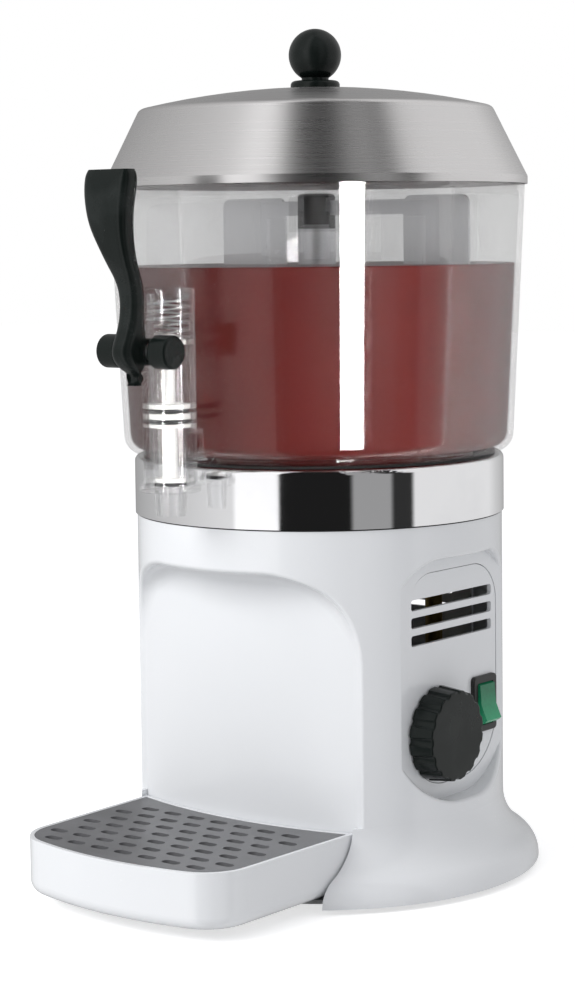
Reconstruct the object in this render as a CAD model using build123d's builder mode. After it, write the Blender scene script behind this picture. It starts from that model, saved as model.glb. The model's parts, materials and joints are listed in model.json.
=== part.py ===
"""Countertop dispenser for warm liquid products: water-bath base, stirred clear bowl, lever tap."""
import os
from math import atan, cos, dist, pi, radians, sin, sqrt

from build123d import *

# Millimetres. The bowl axis is Z, the front with the tap and the drip tray faces -Y, the control
# panel faces +X, and z = 0 is the surface that the feet stand on.

# ---- clearances -------------------------------------------------------------------------------
RUN_CLEARANCE = 0.06      # radial, shafts, pins and the piston in their bores
PLAY = 0.4                # between pieces that move past each other
SLIDE_GAP = 1.2           # around the drip tray
PANEL_GAP = 0.4           # between a cover panel and the edge of its opening
SEAT_GAP = 0.05           # under a lid or a bowl where it rests

# ---- base -------------------------------------------------------------------------------------
BODY_R = 101.8
BODY_TOP = 197.0
WALL = 2.5                # moulded housing wall
SKIRT_R = BODY_R + 19.7
SKIRT_BOTTOM = 3.0
SKIRT_TOP = 40.0
SKIRT_RIM_Z = 3.7         # the foot ring is widest at this height
FLARE_SHARE = 0.647       # of the flare that its concave arc takes, from the body down
FOOT_R = 11.0
FOOT_H = 5.0
FOOT_PITCH_R = SKIRT_R - 25.5
FOOT_AZ = (58, 132, 228, 302)
FOOT_SCREW_R = 2.0
PLATE_T = 2.0
PLATE_VENT_R = 50.0
TONGUE_HALF_W = 58.0      # the base plate runs forward under the drip tray
TONGUE_Y = SKIRT_R + 38.5

# ---- cup recess in the front of the housing ---------------------------------------------------
RECESS_DEPTH_Y = BODY_R - 25.3     # distance of its back wall from the axis
RECESS_WALL_R = 250.0     # the back wall is gently convex
RECESS_HALF_W = BODY_R - 17.8
RECESS_TOP = 174.0
RECESS_CORNER_R = 52.0
RECESS_SOFT_R = 9.0       # between the back wall and the arch
LIP_R = 2.5               # rounding of the recess edge

# ---- drip tray --------------------------------------------------------------------------------
TRAY_HALF_W = RECESS_HALF_W - 11.0
TRAY_FRONT_Y = SKIRT_R + 61.5
TRAY_FRONT_R = 210.0
TRAY_CORNER_R = 27.0
TRAY_TOP = 37.0
TRAY_WALL = 2.4
TRAY_FLOOR = 2.4
TRAY_EDGE_R = 7.0
TRAY_TAPER = 2.5          # each side draws in this much towards the front
GRID_T = 2.2
GRID_SLOT_L = 11.0
GRID_SLOT_W = 5.4
GRID_PITCH_X = 16.4
GRID_PITCH_Y = 12.6
GRID_COUNTS = (7, 8, 7, 8, 7, 8, 7)
GRID_ROWS = len(GRID_COUNTS)
GRID_MARGIN = 8.5
LEDGE_W = 4.0
TRAY_TRAVEL = 120.0

# ---- control panel, vents and rear cover ------------------------------------------------------
FLAT_X = BODY_R - 11.8    # flats on both sides of the housing, under a ledge
FLAT_HALF_W = 50.0
FLAT_Z0 = 47.5
FLAT_Z1 = 179.0
FLAT_LOW_R = 42.0         # lower and upper corners of a flat
FLAT_TOP_R = 30.0
FLAT_EDGE_R = 2.0
PANEL_INSET = 8.0         # from the outline of the flat
PANEL_SUNK = 0.3          # panel face behind the flat
VENT_ZS = (155.0, 145.5, 136.0)
VENT_L = 75.0
VENT_W = 5.8
VENT_CORNER_R = 1.6
DIAL_Y = -16.0
DIAL_Z = 84.0
DIAL_R = 25.5
DIAL_H = 13.5
DIAL_FLUTES = 16
DIAL_FLUTE_R = 2.6
DIAL_GAP = 1.2            # under the dial
SPINDLE_R = 3.0
SPINDLE_IN = 18.0         # of the spindle inside the thermostat
BUSH_R = 5.0
THERMOSTAT_BACK = 5.5     # from the panel's face to the thermostat's front
THERMOSTAT_W = 32.0
THERMOSTAT_H = 36.0
THERMOSTAT_D = 26.0
SWITCH_Y = 28.5
SWITCH_Z = 93.0
SWITCH_W = 22.0
SWITCH_H = 31.0
SWITCH_LEDGE_W = 1.5      # of the bezel over the edge of its hole
SWITCH_LEDGE_H = 2.0
SWITCH_D = 22.0
BEZEL_T = 2.4
ROCKER_W = 14.0
ROCKER_R = 11.4           # its ends are round about the pivot
ROCKER_RISE = 8.0         # raised end, middle and low end of the rocker above the panel
ROCKER_DIP = 4.4
ROCKER_LOW = 3.6
ROCKER_UNDER = 4.0
ROCKER_POCKET = 12.0
ROCKER_TRAVEL = 14.0      # degrees
REAR_W = 84.0
REAR_Z0 = 52.0
REAR_Z1 = 176.0
REAR_CORNER_R = 11.0
REAR_SUNK = 1.2           # cover face behind the housing face
REAR_VENT_L = 48.0
REAR_VENT_W = 3.6
REAR_VENT_ZS = (160.0, 150.5, 141.0, 131.5)
REAR_SCREW_AZ = (160.5, 199.5)
REAR_SCREW_ZS = (60.0, 168.0)
REAR_SCREW_R = 1.6
REAR_SCREW_L = 10.0
INLET_X = -16.0
INLET_Z = 88.0
INLET_W = 28.0
INLET_H = 21.0
INLET_DEPTH = 24.0
TERMINAL_X = 14.0
TERMINAL_Y = 62.0
TERMINAL_L = 34.0
TERMINAL_W = 16.0
TERMINAL_H = 14.0

# ---- water bath -------------------------------------------------------------------------------
RING_R = BODY_R + 1.0
RING_T = 1.2
RING_TOP = 229.4
RING_EDGE_R = 3.0
SEAM_T = 0.8              # dark sealing strip between ring and housing
TANK_R = BODY_R - 4.3
TANK_T = 1.0
TANK_FLOOR = FLAT_Z1 + WALL + 0.5
TANK_TUBE_TOP = 226.0
TUBE_OUT_R = 5.8          # centre tube that keeps the water off the shaft
RING_MOUTH_R = RING_R - 10.3
DRAIN_X = 24.0
DRAIN_TOP_Y = TANK_R - 21.5
DRAIN_END_Y = BODY_R + 10.2
DRAIN_Z = 70.0
DRAIN_R = 5.0
DRAIN_T = 1.0
HEAT_PLATE_R = TANK_R - 31.5
HEAT_PLATE_T = 4.0
ELEMENT_R = HEAT_PLATE_R - 11.0
ELEMENT_ROD_R = 4.0
ELEMENT_ARC = 325.0
ELEMENT_LEG = 14.0
CUTOUT_X = -28.0
CUTOUT_Y = 20.0
BULB_X = 0.0
BULB_Y = -36.0
BULB_R = 3.0
BULB_L = 46.0

# ---- drive ------------------------------------------------------------------------------------
SHAFT_R = 3.5
SHAFT_TOP = 366.0
HEX_H = 10.0              # hexagon at the shaft's top end
MOTOR_R = 30.0
MOTOR_Z0 = 66.0
GEARBOX_R = 38.0
GEARBOX_Z0 = 118.0
GEARBOX_Z1 = 146.0
BRACKET_T = 2.0
BRACKET_HALF_W = 44.0
BRACKET_D = 44.0
BRACKET_FOOT = 14.0
BUSH_FLANGE_R = 9.0

# ---- bowl -------------------------------------------------------------------------------------
BOWL_T = 3.0
BOWL_BOTTOM = 230.4
BOWL_TOP = 380.0
BOWL_R_LOW = RING_R + 5.2
BOWL_R_TOP = BOWL_R_LOW + 7.2
BOWL_CORNER_R = 10.0
WELL_R = RING_MOUTH_R - 3.0        # lower part that hangs in the water
WELL_BOTTOM = 192.0
WELL_CORNER_R = 8.0
RIM_H = 7.0
RIM_T = 1.2
CHIMNEY_T = 2.0
CHIMNEY_TOP = 352.0
BOWL_LIFT = 190.0

# ---- lid --------------------------------------------------------------------------------------
LID_R = BOWL_R_TOP + 1.4
LID_T = 1.2
LID_LIP_H = 3.0
LID_SHOULDER_R = LID_R - 19.1
LID_SHOULDER_Z = 419.6
LID_TOP = 431.0
KNOB_R = 14.5
KNOB_Z = 449.0
KNOB_FOOT_R = 13.6
KNOB_FOOT_H = 4.0
KNOB_NECK_R = 7.5
KNOB_SCREW_R = 2.5
LID_LIFT = 120.0

# ---- tap --------------------------------------------------------------------------------------
TAP_Y = -BOWL_R_LOW - 17.0
TAP_R = 14.0
TAP_BORE_R = 10.8
TAP_TOP = 321.0
TAP_FLOOR = 221.5
TAP_FLANGE_R = 16.0
TAP_FLANGE_H = 4.0
NOZZLE_R = 9.0
NOZZLE_TIP = 206.0
OUTLET_R = 6.0
PORT_R = 5.5
PORT_Z = 242.0
PIVOT_Y = TAP_Y - 21.7
PIVOT_Z = 292.0
PIN_R = 2.5
HUB_R = 6.9               # of the lever between the lugs
HUB_HALF_W = 7.0
CAP_R = 8.7
LUG_T = 3.6
LUG_R = 6.5
LUG_FOOT = 20.0
CAP_L = 12.0
FORK_IN_X = 3.6
FORK_T = 2.8
WINDOW_H = 17.0
TAP_FLOOR_T = 3.0
SEAT_Z = 223.6            # underside of the piston's foot on its rubber washer
FOOT_DISC_R = 8.0
SPINDLE_NECK_R = 4.0
HEAD_H = 12.0
RING_WIRE_R = 1.1
RING_GROOVES = (1.8, 7.2)
# Handle sections from the tail up: height, distance in front of the pivot, width, depth.
HANDLE_SECTIONS = (
    (275.0, 4.9, 8.0, 6.0),
    (283.0, 5.9, 10.0, 10.0),
    (292.0, 7.9, 12.4, 19.5),
    (301.0, 7.1, 12.0, 15.0),
    (314.0, 5.7, 12.0, 10.5),
    (326.0, 7.1, 13.0, 10.5),
    (336.0, 12.1, 16.0, 10.5),
    (346.0, 16.7, 20.0, 11.0),
    (356.0, 19.9, 24.5, 11.5),
    (367.0, 20.9, 28.0, 12.0),
    (378.0, 19.9, 30.0, 12.0),
    (384.0, 19.3, 27.0, 9.0),
)
FORK_ROD_R = 2.4
ROD_R = 3.0
COLLAR_R = 8.8
COLLAR_T = 2.4
LEVER_TRAVEL = 25.0       # degrees
CAP_T = 3.0
SPIGOT_H = 3.0
SPRING_R = 6.9            # to the wire's centre
SPRING_WIRE_R = 0.55
SPRING_TURNS = 5

# ---- stirrer ----------------------------------------------------------------------------------
STIR_TUBE_T = 1.8
STIR_TUBE_Z0 = 197.0
STIR_TOP = 373.0
PADDLE_T = 2.0
INNER_PADDLE = (22.0, WELL_R - 22.5, 200.0, 371.0)     # near and far edge from the axis, bottom, top
OUTER_PADDLE = (60.0, BOWL_R_LOW - 6.0, 238.0, 371.0)


# ---- fasteners --------------------------------------------------------------------------------
SCREW_HEAD_R = 4.2
SCREW_HEAD_H = 1.8
SCREW_SUNK = 0.8          # foot screw heads above the table


# ---- shared shapes ----------------------------------------------------------------------------
LOW = (Align.CENTER, Align.CENTER, Align.MIN)
FRONT = (Align.CENTER, Align.MAX)


def azimuth_point(azimuth, radius, z):
    """A point at an azimuth counted from the front (-Y) towards +X."""
    a = radians(azimuth)
    return (radius * sin(a), -radius * cos(a), z)


def side_plane(azimuth, radius, z):
    """A plane that faces outward at an azimuth, its x axis level and its y axis up."""
    a = radians(azimuth)
    return Plane(azimuth_point(azimuth, radius, z), x_dir=(cos(a), sin(a), 0), z_dir=(sin(a), -cos(a), 0))


def side_prism(azimuth, width, z0, z1, corner, depth):
    """A rounded block that crosses the housing wall square to it, to cut an opening or keep a panel."""
    with BuildPart() as prism:
        with BuildSketch(side_plane(azimuth, BODY_R - depth, (z0 + z1) / 2)):
            RectangleRounded(width, z1 - z0, corner)
        extrude(amount=2 * depth)
    return prism.part


def skirt_solid(inset):
    """The flared foot ring as a filled solid, drawn in by an inset: a concave arc, then a rim arc."""
    half = atan((SKIRT_R - BODY_R) / (SKIRT_TOP - SKIRT_RIM_Z))
    a = 2 * half
    both_r = (SKIRT_TOP - SKIRT_RIM_Z) / sin(a)
    flare_r = FLARE_SHARE * both_r
    rim = both_r - flare_r
    flare_centre = (BODY_R + flare_r, SKIRT_TOP)
    rim_centre = (SKIRT_R - rim, SKIRT_RIM_Z)

    def flare(angle):
        return flare_centre[0] - (flare_r + inset) * cos(angle), flare_centre[1] - (flare_r + inset) * sin(angle)

    def edge(angle):
        return rim_centre[0] + (rim - inset) * cos(angle), rim_centre[1] + (rim - inset) * sin(angle)

    foot = (rim_centre[0] + sqrt((rim - inset) ** 2 - (SKIRT_BOTTOM - rim_centre[1]) ** 2), SKIRT_BOTTOM)
    with BuildPart() as ring:
        with BuildSketch(Plane.XZ):
            with BuildLine():
                ThreePointArc(flare(0), flare(half), flare(a))
                ThreePointArc(flare(a), edge(half), foot)
                Polyline(foot, (0, SKIRT_BOTTOM), (0, SKIRT_TOP), flare(0))
            make_face()
        revolve(axis=Axis.Z)
    return ring.part


def flat_block(near, far, inset):
    """A block with the outline of a side flat, drawn in by an inset, between two distances from the axis."""
    with BuildPart() as block:
        with BuildSketch(Plane.YZ.offset(near)) as outline:
            with Locations((0, (FLAT_Z0 + FLAT_Z1) / 2)):
                Rectangle(2 * (FLAT_HALF_W - inset), FLAT_Z1 - FLAT_Z0 - 2 * inset)
            fillet(outline.vertices().group_by(Axis.Y)[0], FLAT_LOW_R - inset)
            fillet(outline.vertices().group_by(Axis.Y)[-1], FLAT_TOP_R - inset)
        extrude(amount=far - near)
    return block.part


def rims(piece):
    """The edges of openings in the round face of the housing."""
    return [e for e in piece.edges()
            if all(abs(sqrt((e @ t).X ** 2 + (e @ t).Y ** 2) - BODY_R) < 0.01 for t in (0.2, 0.5, 0.8))
            and SKIRT_TOP < round((e @ 0.5).Z, 3) < BODY_TOP]


def tray_bay(grow):
    """The space that the tray slides in, up to the recess wall, grown sideways and rearwards."""
    with BuildPart() as bay:
        with BuildSketch(Plane.XY.offset(PLATE_TOP)):
            Rectangle(2 * (TRAY_HALF_W + SLIDE_GAP + grow), 2 * SKIRT_R, align=FRONT)
            with Locations((0, RECESS_WALL_R - RECESS_DEPTH_Y)):
                Circle(RECESS_WALL_R - grow, mode=Mode.SUBTRACT)
        extrude(amount=SKIRT_TOP - PLATE_TOP)
    return bay.part


def recess_cutter(grow):
    """Everything in front of the recess wall and under its arch, grown on all sides."""
    with BuildPart() as prism:
        with BuildSketch(Plane.XZ):
            with Locations((0, RECESS_TOP + grow)):
                RectangleRounded(2 * (RECESS_HALF_W + grow), 2 * RECESS_TOP, RECESS_CORNER_R + grow,
                                 align=FRONT)
        extrude(amount=2 * BODY_R)
        with Locations((0, RECESS_WALL_R - RECESS_DEPTH_Y, 0)):
            Cylinder(RECESS_WALL_R - grow, 4 * RECESS_TOP, mode=Mode.SUBTRACT)
        back = prism.faces().filter_by(GeomType.CYLINDER).sort_by(Axis.Y)[-1]
        arch = [e for e in back.edges() if e.center().Z > RECESS_TOP / 3]
        fillet(arch, RECESS_SOFT_R + grow)
    return prism.part


def tray_plan(inset, rear_gap):
    """Plan of the tray, drawn in by an inset and kept rear_gap off the recess wall."""
    half_w = TRAY_HALF_W - inset
    front_w = half_w - TRAY_TAPER
    rear_r = RECESS_WALL_R + rear_gap
    rear_y = RECESS_WALL_R - RECESS_DEPTH_Y
    rear_side = rear_y - sqrt(rear_r ** 2 - half_w ** 2)
    front = TRAY_FRONT_Y - inset
    side_front = front - TRAY_FRONT_R + sqrt(TRAY_FRONT_R ** 2 - front_w ** 2)
    with BuildSketch() as plan:
        with BuildLine():
            Line((half_w, rear_side), (front_w, -side_front))
            ThreePointArc((front_w, -side_front), (0, -front), (-front_w, -side_front))
            Line((-front_w, -side_front), (-half_w, rear_side))
            ThreePointArc((-half_w, rear_side), (0, rear_y - rear_r), (half_w, rear_side))
        make_face()
        fillet(plan.vertices().sort_by(Axis.Y)[:2], TRAY_CORNER_R - inset)
    return plan.sketch


def biarc_path(points, tangents):
    """A smooth path of circle arcs through points with given unit tangents."""
    edges = []
    for p0, p1, t0, t1 in zip(points, points[1:], tangents, tangents[1:]):
        chord = p1 - p0
        along = chord.dot(t0 + t1)
        k = 2 * (1 - t0.dot(t1))
        reach = (sqrt(along ** 2 + k * chord.dot(chord)) - along) / k
        q0 = p0 + t0 * reach
        q1 = p1 - t1 * reach
        joint = (q0 + q1) * 0.5
        edges.append(Edge.make_tangent_arc(p0, t0, joint))
        edges.append(Edge.make_tangent_arc(joint, (q1 - q0).normalized(), p1))
    return edges


def inlet_hole(width, height):
    """The square opening of the appliance inlet, right through the rear wall."""
    with BuildPart() as hole:
        with BuildSketch(side_plane(180, BODY_R / 2, INLET_Z)):
            with Locations((-INLET_X, 0)):
                Rectangle(width, height)
        extrude(amount=BODY_R)
    return hole.part


def dome_arc(radius, z, top):
    """Arc of a shallow dome in section, from its edge to its top on the axis."""
    dome_r = (radius ** 2 + (top - z) ** 2) / (2 * (top - z))
    middle = radius / 2
    return ThreePointArc((radius, z), (middle, top - dome_r + sqrt(dome_r ** 2 - middle ** 2)), (0, top))


def write(piece, name):
    piece.part.label = name
    export_step(piece.part, f"parts/{name}.step")


os.makedirs("parts", exist_ok=True)
PLATE_TOP = FOOT_H + PLATE_T
BODY_H = BODY_TOP - SKIRT_TOP
PANEL_X = FLAT_X - PANEL_SUNK
THERMOSTAT_X = PANEL_X - THERMOSTAT_BACK
DIAL_BASE_X = PANEL_X + DIAL_GAP
SPINDLE_SOCKET = 0.7 * DIAL_H
SWITCH_HOLE_W = SWITCH_W - 2 * SWITCH_LEDGE_W
SWITCH_HOLE_H = SWITCH_H - 2 * SWITCH_LEDGE_H
REAR_FACE_R = BODY_R - REAR_SUNK
BRACKET_HOLES = [(side * (BRACKET_HALF_W + BRACKET_FOOT / 2), y, PLATE_TOP)
                 for side in (1, -1) for y in (-BRACKET_D / 4, BRACKET_D / 4)]
FEET = [azimuth_point(az, FOOT_PITCH_R, 0) for az in FOOT_AZ]

# ---- base: feet, plate and foot ring ----------------------------------------------------------
with BuildPart() as rubber_feet:
    with Locations(*FEET):
        Cylinder(FOOT_R, FOOT_H, align=LOW)
    chamfer(rubber_feet.edges().group_by(Axis.Z)[0], 1.0)
    with Locations(*FEET):
        Cylinder(FOOT_SCREW_R, FOOT_H, align=LOW, mode=Mode.SUBTRACT)
        Cylinder(SCREW_HEAD_R + PLAY, SCREW_HEAD_H + SCREW_SUNK, align=LOW, mode=Mode.SUBTRACT)
write(rubber_feet, "rubber_feet")

with BuildPart() as foot_screws:
    with Locations(*[(x, y, SCREW_SUNK) for x, y, z in FEET]):
        Cylinder(SCREW_HEAD_R, SCREW_HEAD_H, align=LOW)
        Cylinder(FOOT_SCREW_R, FOOT_H + PLATE_T + 2 * PLATE_T, align=LOW)
write(foot_screws, "foot_screws")

with BuildPart() as base_plate:
    with BuildSketch(Plane.XY.offset(FOOT_H)):
        Circle(SKIRT_R - 2 * WALL)
        Rectangle(2 * TONGUE_HALF_W, TONGUE_Y, align=FRONT)
        with Locations(*[(x, y) for x, y, z in FEET]):
            Circle(FOOT_SCREW_R, mode=Mode.SUBTRACT)
        with PolarLocations(PLATE_VENT_R, 8, start_angle=22.5):
            SlotOverall(26, 5, rotation=90, mode=Mode.SUBTRACT)
    extrude(amount=PLATE_T)
    fillet(base_plate.edges().filter_by(Axis.Z).group_by(Axis.Y)[0], 10)
write(base_plate, "base_plate")

with BuildPart() as base_skirt:
    add(skirt_solid(0))
    add(skirt_solid(WALL), mode=Mode.SUBTRACT)
    with BuildPart(mode=Mode.PRIVATE) as liner:
        add(tray_bay(WALL))
        add(tray_bay(0), mode=Mode.SUBTRACT)
        add(skirt_solid(0), mode=Mode.INTERSECT)
    add(liner.part)
    add(tray_bay(0), mode=Mode.SUBTRACT)
    with BuildPart(mode=Mode.PRIVATE) as below_tray:
        with BuildSketch(Plane.XY):
            Rectangle(2 * (TRAY_HALF_W + SLIDE_GAP), 2 * SKIRT_R, align=FRONT)
        extrude(amount=PLATE_TOP)
        Cylinder(SKIRT_R - 2 * WALL - PLAY, PLATE_TOP, align=LOW, mode=Mode.SUBTRACT)
    add(below_tray.part, mode=Mode.SUBTRACT)
write(base_skirt, "base_skirt")

# ---- housing ----------------------------------------------------------------------------------
with BuildPart() as body_shell:
    with Locations((0, 0, SKIRT_TOP)):
        Cylinder(BODY_R, BODY_H, align=LOW)
    add(recess_cutter(0), mode=Mode.SUBTRACT)
    fillet(rims(body_shell), LIP_R)
    flat = flat_block(FLAT_X, 2 * BODY_R, 0)
    add([flat, flat.mirror(Plane.YZ)], mode=Mode.SUBTRACT)
    fillet([e for e in rims(body_shell) if abs((e @ 0.5).X) > FLAT_X - 0.1], FLAT_EDGE_R)
    with BuildPart(mode=Mode.PRIVATE) as cavity:
        with Locations((0, 0, SKIRT_TOP)):
            Cylinder(BODY_R - WALL, BODY_H, align=LOW)
        add(recess_cutter(WALL), mode=Mode.SUBTRACT)
        flat = flat_block(FLAT_X - WALL, 2 * BODY_R, -WALL)
        add([flat, flat.mirror(Plane.YZ)], mode=Mode.SUBTRACT)
    add(cavity.part, mode=Mode.SUBTRACT)
    opening = flat_block(FLAT_X - 2 * WALL, FLAT_X + WALL, PANEL_INSET)
    add([opening, opening.mirror(Plane.YZ)], mode=Mode.SUBTRACT)
    add(side_prism(180, REAR_W, REAR_Z0, REAR_Z1, REAR_CORNER_R, BODY_R / 3), mode=Mode.SUBTRACT)
write(body_shell, "body_shell")


def side_panel():
    """A flat panel with vents that fills the opening in a side flat with a gap all round."""
    with BuildPart() as panel:
        add(flat_block(PANEL_X - WALL, PANEL_X, PANEL_INSET + PANEL_GAP))
        with BuildSketch(Plane.YZ.offset(PANEL_X)):
            with Locations(*[(0, z) for z in VENT_ZS]):
                RectangleRounded(VENT_L, VENT_W, VENT_CORNER_R)
        extrude(amount=-WALL, mode=Mode.SUBTRACT)
    return panel.part


def rear_panel():
    """The curved panel that fills the rear opening of the housing with a gap all round."""
    with BuildPart() as panel:
        with Locations((0, 0, SKIRT_TOP)):
            Cylinder(REAR_FACE_R, BODY_H, align=LOW)
            Cylinder(REAR_FACE_R - WALL, BODY_H, align=LOW, mode=Mode.SUBTRACT)
        add(side_prism(180, REAR_W - 2 * PANEL_GAP, REAR_Z0 + PANEL_GAP, REAR_Z1 - PANEL_GAP,
                       REAR_CORNER_R - PANEL_GAP, BODY_R / 3), mode=Mode.INTERSECT)
    return panel.part


with BuildPart() as control_panel:
    add(side_panel())
    with BuildSketch(Plane.YZ.offset(PANEL_X)):
        with Locations((DIAL_Y, DIAL_Z)):
            Circle(BUSH_R)
        with Locations((SWITCH_Y, SWITCH_Z)):
            Rectangle(SWITCH_HOLE_W, SWITCH_HOLE_H)
    extrude(amount=-WALL, mode=Mode.SUBTRACT)
write(control_panel, "control_panel")

with BuildPart() as vent_panel:
    add(side_panel().mirror(Plane.YZ))
write(vent_panel, "vent_panel")

with BuildPart() as rear_cover:
    add(rear_panel())
    with BuildSketch(side_plane(180, BODY_R / 2, 0)):
        with Locations(*[(0, z) for z in REAR_VENT_ZS]):
            SlotOverall(REAR_VENT_L, REAR_VENT_W)
    extrude(amount=BODY_R, mode=Mode.SUBTRACT)
    with BuildSketch(side_plane(180, BODY_R / 2, INLET_Z)):
        with Locations((-INLET_X, 0)):
            Rectangle(INLET_W, INLET_H)
    extrude(amount=BODY_R, mode=Mode.SUBTRACT)
    with BuildSketch(side_plane(180, BODY_R / 2, DRAIN_Z)):
        with Locations((-DRAIN_X, 0)):
            Circle(DRAIN_R + PLAY)
    extrude(amount=BODY_R, mode=Mode.SUBTRACT)
    for azimuth in REAR_SCREW_AZ:
        for z in REAR_SCREW_ZS:
            with BuildSketch(side_plane(azimuth, BODY_R / 2, z)):
                Circle(REAR_SCREW_R)
            extrude(amount=BODY_R, mode=Mode.SUBTRACT)
write(rear_cover, "rear_cover")

with BuildPart() as cover_screws:
    for azimuth in REAR_SCREW_AZ:
        for z in REAR_SCREW_ZS:
            with BuildSketch(side_plane(azimuth, REAR_FACE_R - REAR_SCREW_L, z)):
                Circle(REAR_SCREW_R)
            extrude(amount=REAR_SCREW_L)
            with BuildSketch(side_plane(azimuth, REAR_FACE_R, z)):
                Circle(1.9 * REAR_SCREW_R)
            extrude(amount=1.4)
write(cover_screws, "cover_screws")

# ---- water bath -------------------------------------------------------------------------------
with BuildPart() as seam_strip:
    with Locations((0, 0, BODY_TOP)):
        Cylinder(BODY_R - 0.5, SEAM_T, align=LOW)
        Cylinder(BODY_R - WALL, SEAM_T, align=LOW, mode=Mode.SUBTRACT)
write(seam_strip, "seam_strip")

with BuildPart() as tank_ring:
    with BuildSketch(Plane.XZ):
        with BuildLine() as band:
            FilletPolyline((RING_R, BODY_TOP + SEAM_T), (RING_R, RING_TOP), (RING_MOUTH_R, RING_TOP),
                           radius=RING_EDGE_R)
            offset(amount=-RING_T, side=Side.LEFT)
        make_face()
    revolve(axis=Axis.Z)
write(tank_ring, "tank_ring")

TANK_TOP = RING_TOP - RING_T
with BuildPart() as water_tank:
    with BuildSketch(Plane.XZ):
        with BuildLine():
            Polyline((TUBE_OUT_R - TANK_T, TANK_FLOOR), (TANK_R, TANK_FLOOR), (TANK_R, TANK_TOP),
                     (TANK_R - TANK_T, TANK_TOP), (TANK_R - TANK_T, TANK_FLOOR + TANK_T),
                     (TUBE_OUT_R, TANK_FLOOR + TANK_T), (TUBE_OUT_R, TANK_TUBE_TOP),
                     (TUBE_OUT_R - TANK_T, TANK_TUBE_TOP), close=True)
        make_face()
    revolve(axis=Axis.Z)
    with Locations((DRAIN_X, DRAIN_TOP_Y, TANK_FLOOR)):
        Cylinder(DRAIN_R - DRAIN_T, TANK_T, align=LOW, mode=Mode.SUBTRACT)
write(water_tank, "water_tank")

with BuildPart() as bowl_gasket:
    with Locations((0, 0, RING_TOP)):
        Cylinder(RING_MOUTH_R + 5.5, BOWL_BOTTOM - RING_TOP - SEAT_GAP, align=LOW)
        Cylinder(RING_MOUTH_R + 0.5, BOWL_BOTTOM - RING_TOP - SEAT_GAP, align=LOW, mode=Mode.SUBTRACT)
write(bowl_gasket, "bowl_gasket")

with BuildPart() as heater_plate:
    with Locations((0, 0, TANK_FLOOR - HEAT_PLATE_T)):
        Cylinder(HEAT_PLATE_R, HEAT_PLATE_T, align=LOW)
        Cylinder(BUSH_FLANGE_R + PLAY, HEAT_PLATE_T, align=LOW, mode=Mode.SUBTRACT)
write(heater_plate, "heater_plate")

ELEMENT_Z = TANK_FLOOR - HEAT_PLATE_T - ELEMENT_ROD_R
with BuildPart() as heating_element:
    with BuildSketch(Plane.XZ):
        with Locations((ELEMENT_R, ELEMENT_Z)):
            Circle(ELEMENT_ROD_R)
    revolve(axis=Axis.Z, revolution_arc=ELEMENT_ARC)
    for turn in (0, ELEMENT_ARC):
        leg = (ELEMENT_R * cos(radians(turn)), ELEMENT_R * sin(radians(turn)), ELEMENT_Z + 0.9 * ELEMENT_ROD_R)
        with Locations(leg):
            Cylinder(1.3 * ELEMENT_ROD_R, ELEMENT_LEG, align=(Align.CENTER, Align.CENTER, Align.MAX))
            Cylinder(1.2, ELEMENT_LEG + 8, align=(Align.CENTER, Align.CENTER, Align.MAX))
write(heating_element, "heating_element")

with BuildPart() as safety_cutout:
    with Locations((CUTOUT_X, CUTOUT_Y, TANK_FLOOR - HEAT_PLATE_T)):
        Cylinder(8.5, 2.0, align=(Align.CENTER, Align.CENTER, Align.MAX))
        Cylinder(7.0, 10.0, align=(Align.CENTER, Align.CENTER, Align.MAX))
    with Locations((CUTOUT_X - 4, CUTOUT_Y, TANK_FLOOR - HEAT_PLATE_T - 13), (CUTOUT_X + 4, CUTOUT_Y,
                   TANK_FLOOR - HEAT_PLATE_T - 13)):
        Box(0.8, 6, 8)
write(safety_cutout, "safety_cutout")

with BuildPart() as thermostat_body:
    with BuildSketch(Plane.YZ.offset(THERMOSTAT_X)):
        with Locations((DIAL_Y, DIAL_Z)):
            RectangleRounded(THERMOSTAT_W, THERMOSTAT_H, 3)
    extrude(amount=-THERMOSTAT_D)
    with BuildSketch(Plane.YZ.offset(THERMOSTAT_X)):
        with Locations((DIAL_Y, DIAL_Z)):
            Circle(BUSH_R - PLAY / 2)
    extrude(amount=THERMOSTAT_BACK + DIAL_GAP - PLAY)
    with BuildSketch(Plane.YZ.offset(THERMOSTAT_X - SPINDLE_IN - PLAY)):
        with Locations((DIAL_Y, DIAL_Z)):
            Circle(SPINDLE_R + RUN_CLEARANCE)
    extrude(amount=THERMOSTAT_D, mode=Mode.SUBTRACT)
write(thermostat_body, "thermostat_body")

with BuildPart() as thermostat_bulb:
    with Locations(Location((BULB_X, BULB_Y, TANK_FLOOR - HEAT_PLATE_T - BULB_R), (0, 90, 0))):
        Cylinder(BULB_R, BULB_L)
write(thermostat_bulb, "thermostat_bulb")

with BuildPart() as drain_pipe:
    with BuildLine() as route:
        FilletPolyline((DRAIN_X, DRAIN_TOP_Y, TANK_FLOOR), (DRAIN_X, DRAIN_TOP_Y, DRAIN_Z),
                       (DRAIN_X, DRAIN_END_Y, DRAIN_Z), radius=2.5 * DRAIN_R)
    with BuildSketch(Plane(route.line @ 0, z_dir=route.line % 0)):
        Circle(DRAIN_R)
        Circle(DRAIN_R - DRAIN_T, mode=Mode.SUBTRACT)
    sweep()
write(drain_pipe, "drain_pipe")

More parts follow.
